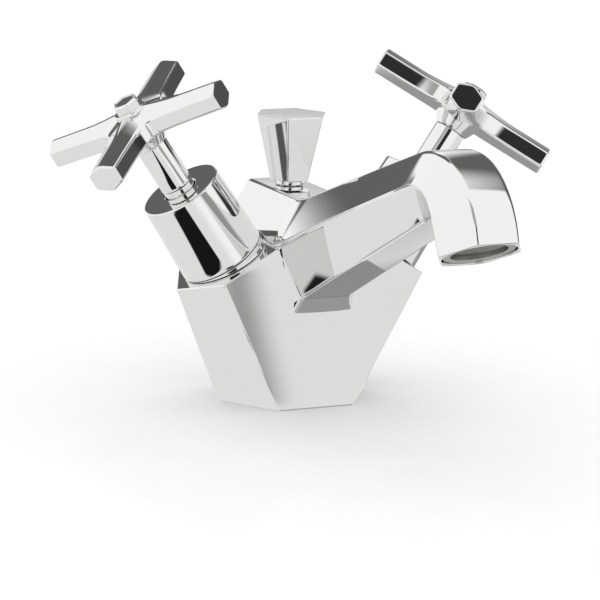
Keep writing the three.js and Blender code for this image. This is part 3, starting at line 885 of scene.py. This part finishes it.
class MIXER_OT_lift(bpy.types.Operator):
    """Six-sided lift knob that widens upwards, and the bush of its rod."""

    bl_idname = "mixer.lift"
    bl_label = "Lift knob"

    def execute(self, context):
        low, high = (Vector(corner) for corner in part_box("lift_knob"))
        middle = (low + high) / 2
        outline = round_corners(unit_hexagon(), 0.06, 5)
        top_radius, foot_radius = (high.x - low.x) / 2, 0.00785
        soft = 0.0005
        rows = [(foot_radius - soft, low.z), (foot_radius - 0.2 * soft, low.z + 0.2 * soft),
                (foot_radius, low.z + soft), (top_radius, high.z - soft),
                (top_radius - 0.2 * soft, high.z - 0.2 * soft), (top_radius - soft, high.z)]
        spot = Matrix.Translation((middle.x, middle.y, 0))
        knob = carried(capped(stacked(outline, rows)), spot)
        build("knob_shell", [(knob, False)], "lift", ["lift_knob"])
        foot, head = (Vector(corner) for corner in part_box("rod_guide_bush"))
        radius = (head.x - foot.x) / 2
        bore, shank, collar = 0.0023, 0.0036, head.z - 0.0015
        bush = round_corners(np.array([
            [bore, foot.z], [shank, foot.z], [shank, collar],
            [radius, collar], [radius, head.z], [bore, head.z],
        ]), SMALL_EDGE)
        build("bush_ring", [(carried(revolve(bush, 64), spot), True)], ROOT, ["rod_guide_bush"])
        return {"FINISHED"}


class MIXER_OT_inner_parts(bpy.types.Operator):
    """Finishes on the frame's own pieces that are carried over as they are."""

    bl_idname = "mixer.inner_parts"
    bl_label = "Inner parts"

    def execute(self, context):
        slots = {part["node"]: part["material_slot"] for part in frame["record"]["subparts"]}
        for name, node in frame["nodes"].items():
            node.data.materials.clear()
            node.data.materials.append(slot_material(slots[name]))
        return {"FINISHED"}


# ---------- studio ----------

class MIXER_OT_stage(bpy.types.Operator):
    """Pale floor, soft white surround and the camera."""

    bl_idname = "mixer.stage"
    bl_label = "Studio"

    def execute(self, context):
        self.camera(context)
        self.floor(context)
        self.flags(context)
        self.world(context)
        context.scene.view_settings.view_transform = "Standard"
        return {"FINISHED"}

    @staticmethod
    def camera(context):
        """Long lens, turned 25 degrees to the left of the front and 12 down, with a small roll."""
        turn, dip, roll = np.radians((25.1, 12.37, 1.79))
        right = Vector((np.cos(turn), -np.sin(turn), 0))
        ahead = Vector((np.sin(turn) * np.cos(dip), np.cos(turn) * np.cos(dip), -np.sin(dip)))
        up = right.cross(ahead)
        right, up = np.cos(roll) * right + np.sin(roll) * up, np.cos(roll) * up - np.sin(roll) * right
        spot = 0.00324 * right + 0.03398 * up - 1.063 * ahead
        lens = bpy.data.cameras.new("camera")
        lens.lens, lens.sensor_width = 176.84, 36.0
        lens.clip_start, lens.clip_end = 0.05, 50.0
        camera = bpy.data.objects.new("camera", lens)
        camera.matrix_world = Matrix.Translation(spot) @ Matrix((right, up, -ahead)).transposed().to_4x4()
        context.scene.collection.objects.link(camera)
        context.scene.camera = camera

    @staticmethod
    def floor(context):
        mesh = bpy.data.meshes.new("floor")
        half = 3.0
        corners = [(-half, -half, 0), (half, -half, 0), (half, half, 0), (-half, half, 0)]
        mesh.from_pydata(corners, [], [(0, 1, 2, 3)])
        tint = context.scene.mixer_finish.floor
        mesh.materials.append(finish_material("Studio floor", tint, 0.0, 0.9, 0.05, 0.05))
        floor = bpy.data.objects.new("floor", mesh)
        context.scene.collection.objects.link(floor)
        floor.visible_glossy = False

    @classmethod
    def world(cls, context):
        """White surround with soft cards: a direction that meets a card's plane inside its edges
        takes that card's tone. Only reflections see the cards, and the camera sees white."""
        sizes = context.scene.mixer_studio
        world = bpy.data.worlds.new("studio")
        world.use_nodes = True
        nodes, links = world.node_tree.nodes, world.node_tree.links
        nodes.clear()
        sky = nodes.new("ShaderNodeTexCoord").outputs["Generated"]
        tone = nodes.new("ShaderNodeRGB")
        tone.outputs[0].default_value = (sizes.surround,) * 3 + (1.0,)
        tone = tone.outputs[0]
        for azimuth, height, wide, tall, soft_wide, soft_tall, level in CARDS:
            mask = cls.card(world.node_tree, sky, azimuth, height, (wide, soft_wide), (tall, soft_tall))
            blend = nodes.new("ShaderNodeMix")
            blend.data_type = "RGBA"
            links.new(mask, blend.inputs["Factor"])
            links.new(tone, blend.inputs[6])
            blend.inputs[7].default_value = (level, level, level * 0.985, 1.0)
            tone = blend.outputs[2]
        rays = nodes.new("ShaderNodeLightPath")
        seen, lit, mirror = (nodes.new("ShaderNodeBackground") for _ in range(3))
        seen.inputs["Color"].default_value = (1.0, 1.0, 1.0, 1.0)
        lit.inputs["Color"].default_value = (sizes.daylight,) * 3 + (1.0,)
        links.new(tone, mirror.inputs["Color"])
        by_gloss = mix_shaders(world.node_tree, rays.outputs["Is Glossy Ray"], lit.outputs[0],
                               mirror.outputs[0])
        by_camera = mix_shaders(world.node_tree, rays.outputs["Is Camera Ray"], by_gloss,
                                seen.outputs[0])
        links.new(by_camera, nodes.new("ShaderNodeOutputWorld").inputs["Surface"])
        context.scene.world = world

    @staticmethod
    def card(tree, sky, azimuth, height, wide, tall):
        """Mask of one panel: smooth steps on |azimuth - a| and |height - h| of the ray direction.

        The ray is first turned by the panel's azimuth, so that its own azimuth reads atan2(x, y)
        from the panel's middle, and its height is asin(z).
        """
        nodes, links = tree.nodes, tree.links
        turned = nodes.new("ShaderNodeVectorRotate")
        turned.rotation_type = "Z_AXIS"
        turned.inputs["Angle"].default_value = np.radians(azimuth)
        links.new(sky, turned.inputs["Vector"])
        axes = nodes.new("ShaderNodeSeparateXYZ")
        links.new(turned.outputs[0], axes.inputs[0])

        across = maths(tree, "ARCTAN2", axes.outputs["X"], axes.outputs["Y"])
        up = maths(tree, "SUBTRACT", maths(tree, "ARCSINE", axes.outputs["Z"]), np.radians(height))
        masks = [
            soft_mask(tree, offset, np.radians(half + soft), np.radians(half - soft))
            for offset, (half, soft) in ((across, wide), (up, tall))
        ]
        return maths(tree, "MULTIPLY", *masks)

    @classmethod
    def flags(cls, context):
        """Soft-edged sheets of painted shade lying on the deck, seen only in the polished surfaces.

        P(u, v) = (1 - v) ((1 - u) A + u B) + v ((1 - u) D + u C), with u and v kept as the UV.
        """
        cells = 8
        share = np.linspace(0.0, 1.0, cells + 1)
        u, v = np.meshgrid(share, share)
        quads = grid_quads(cells + 1, cells + 1, "open")
        places = np.stack([u.ravel(), v.ravel()], -1)[quads.ravel()]
        u, v = u[..., None], v[..., None]
        for name, *corners, soft_across, soft_along, level in REFLECTED_SHADE_PATCHES:
            a, b, c, d = (np.array(corner) for corner in corners)
            flat = (1 - v) * ((1 - u) * a + u * b) + v * ((1 - u) * d + u * c)
            points = np.concatenate([flat, np.zeros_like(u)], -1).reshape(-1, 3)
            mesh = bpy.data.meshes.new(name)
            mesh.from_pydata(points.tolist(), [], quads.tolist())
            spread = mesh.uv_layers.new(name="Spread")
            spread.data.foreach_set("uv", places.ravel())
            mesh.materials.append(cls.shade_patch_material(name, soft_across, soft_along, level))
            shade_patch = bpy.data.objects.new(name, mesh)
            context.scene.collection.objects.link(shade_patch)
            # Each sheet is painted shade: hidden from the camera and from other light, only the reflections see
            # its glow.
            shade_patch.visible_camera = shade_patch.visible_diffuse = shade_patch.visible_shadow = False

    @staticmethod
    def shade_patch_material(name, soft_across, soft_along, level):
        """Painted shade for the reflections: a glow of the given tone that fades to clear towards the edges of the
        UV square.
        """
        material = bpy.data.materials.new(name)
        material.use_nodes = True
        tree = material.node_tree
        tree.nodes.clear()
        axes = tree.nodes.new("ShaderNodeSeparateXYZ")
        tree.links.new(tree.nodes.new("ShaderNodeUVMap").outputs["UV"], axes.inputs[0])
        masks = [
            soft_mask(tree, maths(tree, "SUBTRACT", axes.outputs[axis], 0.5), 0.5, 0.5 - 2 * soft)
            for axis, soft in (("X", soft_across), ("Y", soft_along))
        ]
        clear = tree.nodes.new("ShaderNodeBsdfTransparent")
        glow = tree.nodes.new("ShaderNodeEmission")
        # The glow's tone is painted shade, seen only in the reflections.
        glow.inputs["Color"].default_value = (level, level, level, 1.0)
        mixed = mix_shaders(tree, maths(tree, "MULTIPLY", *masks), clear.outputs[0], glow.outputs[0])
        tree.links.new(mixed, tree.nodes.new("ShaderNodeOutputMaterial").inputs["Surface"])
        return material


STEPS = (MIXER_OT_stage, MIXER_OT_body, MIXER_OT_spout, MIXER_OT_aerator, MIXER_OT_valves,
         MIXER_OT_handles, MIXER_OT_lift, MIXER_OT_inner_parts)


class MIXER_PT_panel(bpy.types.Panel):
    bl_idname = "MIXER_PT_panel"
    bl_label = "Faceted basin mixer"
    bl_space_type = "VIEW_3D"
    bl_region_type = "UI"
    bl_category = "Mixer"

    def draw(self, context):
        for step in STEPS:
            self.layout.operator(step.bl_idname)
        for name, group in GROUPS.items():
            box = self.layout.box()
            for label in group.__annotations__:
                box.prop(getattr(context.scene, name), label)


CLASSES = (*GROUPS.values(), *STEPS, MIXER_PT_panel)


def register():
    for cls in CLASSES:
        bpy.utils.register_class(cls)
    for name, group in GROUPS.items():
        setattr(bpy.types.Scene, name, bpy.props.PointerProperty(type=group))


def unregister():
    for name in GROUPS:
        delattr(bpy.types.Scene, name)
    for cls in reversed(CLASSES):
        bpy.utils.unregister_class(cls)


def main():
    register()
    for step in STEPS:
        family, name = step.bl_idname.split(".")
        getattr(getattr(bpy.ops, family), name)()


if __name__ == "__main__":
    main()
